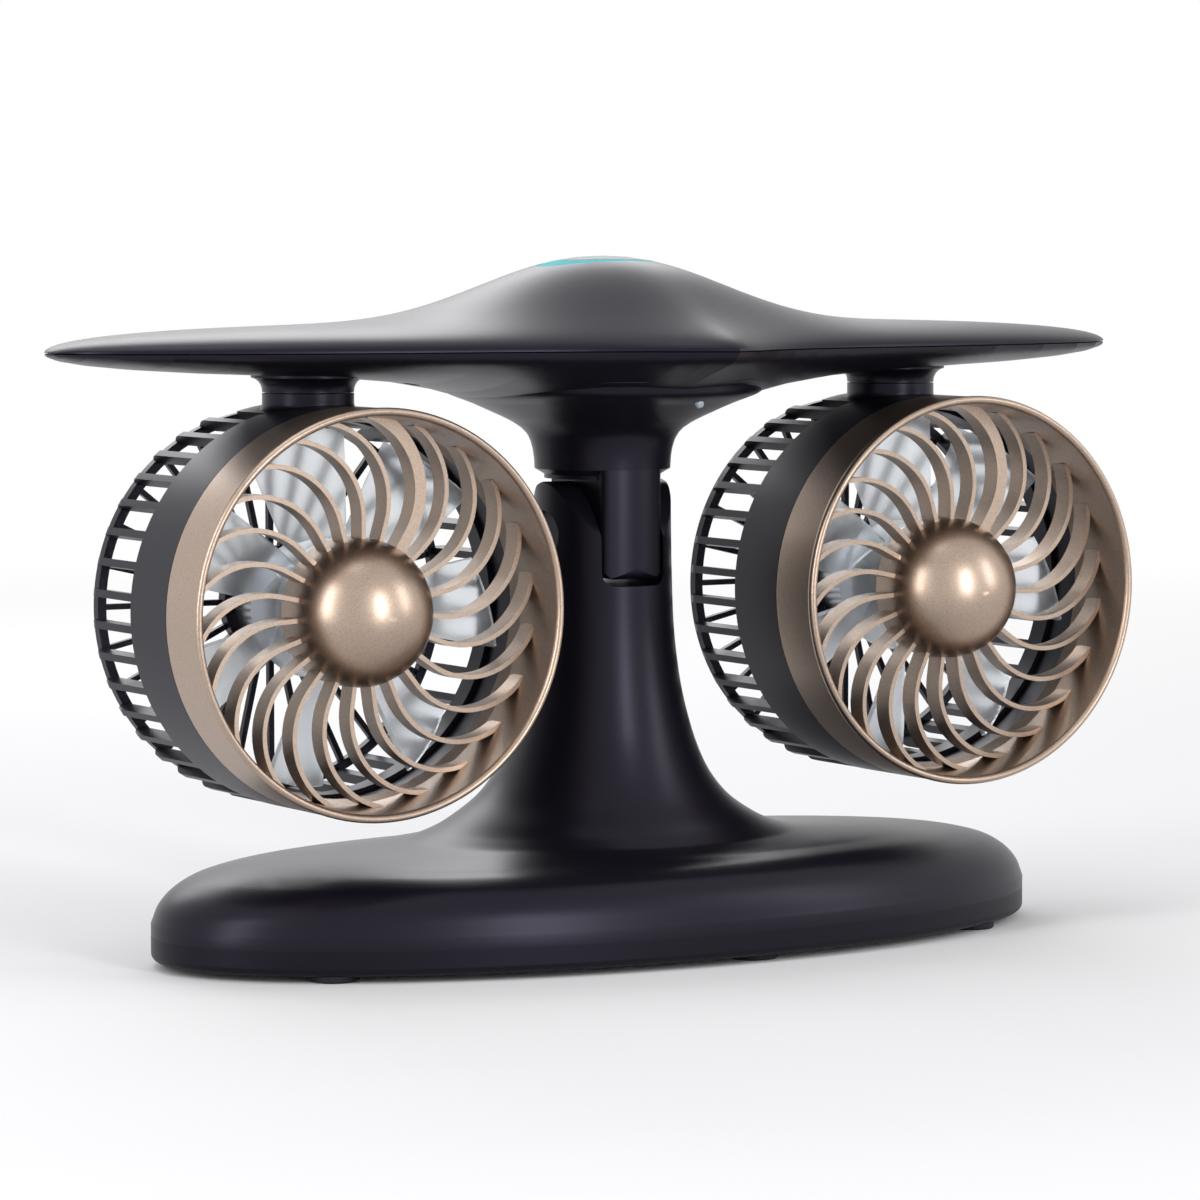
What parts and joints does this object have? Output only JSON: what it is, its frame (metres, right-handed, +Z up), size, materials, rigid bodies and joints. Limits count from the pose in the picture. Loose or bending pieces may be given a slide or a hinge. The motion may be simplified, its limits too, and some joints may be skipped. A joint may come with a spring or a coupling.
{
  "type": "table fan",
  "caption": "Table fan with two jet-engine-like heads that swivel under a wing, on a tilting neck and an oval weighted foot.",
  "frame": {"origin": "on the table, under the column's axis at the middle of the foot", "axes": "+Z up, the fans blow towards -Y at rest, +X along the wing to the right head, which is on the right of someone facing the grilles"},
  "size_m": [0.3216, 0.139, 0.1836],
  "materials": {
    "body_plastic": "satin charcoal-black moulded ABS",
    "plate_plastic": "fine textured black ABS",
    "bronze": "satin champagne-bronze paint on ABS",
    "cage_plastic": "satin black moulded ABS",
    "cap_plastic": "black plugs",
    "button_plastic": "satin-gloss black cap",
    "teal_ring": "pale teal translucent ring",
    "lens": "clear indicator lens",
    "blades": "pale translucent polypropylene",
    "motor_steel": "zinc-plated can",
    "steel": "zinc-plated steel",
    "iron": "raw cast iron",
    "circuit": "glass-epoxy board with solder mask",
    "rubber": "soft black rubber",
    "nylon": "natural nylon"
  },
  "bodies": {
    "base": {"base_shell": "body_plastic", "base_plate": "plate_plastic", "rubber_feet": "rubber", "base_screws": "steel", "ballast_weight": "iron", "usb_socket": "steel", "power_board": "circuit", "tilt_pin": "steel", "hinge_caps": "cap_plastic", "friction_washers": "nylon"},
    "wing": {"wing_upper_shell": "body_plastic", "wing_lower_shell": "body_plastic", "button_ring": "teal_ring", "control_board": "circuit", "indicator_lens": "lens", "wing_screws": "steel"},
    "button": {"power_button": "button_plastic"},
    "left_head": {"left_housing": "body_plastic", "left_front_grille": "bronze", "left_rear_grille": "cage_plastic", "left_swivel_clip": "nylon", "left_motor": "motor_steel", "left_motor_screws": "steel"},
    "right_head": {"right_housing": "body_plastic", "right_front_grille": "bronze", "right_rear_grille": "cage_plastic", "right_swivel_clip": "nylon", "right_motor": "motor_steel", "right_motor_screws": "steel"},
    "left_rotor": {"left_impeller": "blades", "left_motor_shaft": "steel"},
    "right_rotor": {"right_impeller": "blades", "right_motor_shaft": "steel"}
  },
  "joints": [
    {"name": "wing_tilt", "type": "hinge", "parent": "base", "child": "wing", "pos_m": [0, 0, 0.1095], "axis": [-1, 0, 0], "range_deg": [-3, 25]},
    {"name": "left_swivel", "type": "hinge", "parent": "wing", "child": "left_head", "pos_m": [-0.09, -0.0035, 0.1488], "axis": [0, 0, 1], "range_deg": [-90, 90]},
    {"name": "left_spin", "type": "hinge", "parent": "left_head", "child": "left_rotor", "pos_m": [-0.09, -0.0035, 0.0935], "axis": [0, -1, 0], "continuous": true},
    {"name": "right_swivel", "type": "hinge", "parent": "wing", "child": "right_head", "pos_m": [0.09, -0.0035, 0.1488], "axis": [0, 0, 1], "range_deg": [-90, 90]},
    {"name": "right_spin", "type": "hinge", "parent": "right_head", "child": "right_rotor", "pos_m": [0.09, -0.0035, 0.0935], "axis": [0, -1, 0], "continuous": true},
    {"name": "power_button_press", "type": "slide", "parent": "wing", "child": "button", "axis": [0, 0, -1], "range_m": [0, 0.0006], "stiffness_N_per_m": 1500, "springref_m": -0.0004}
  ]
}
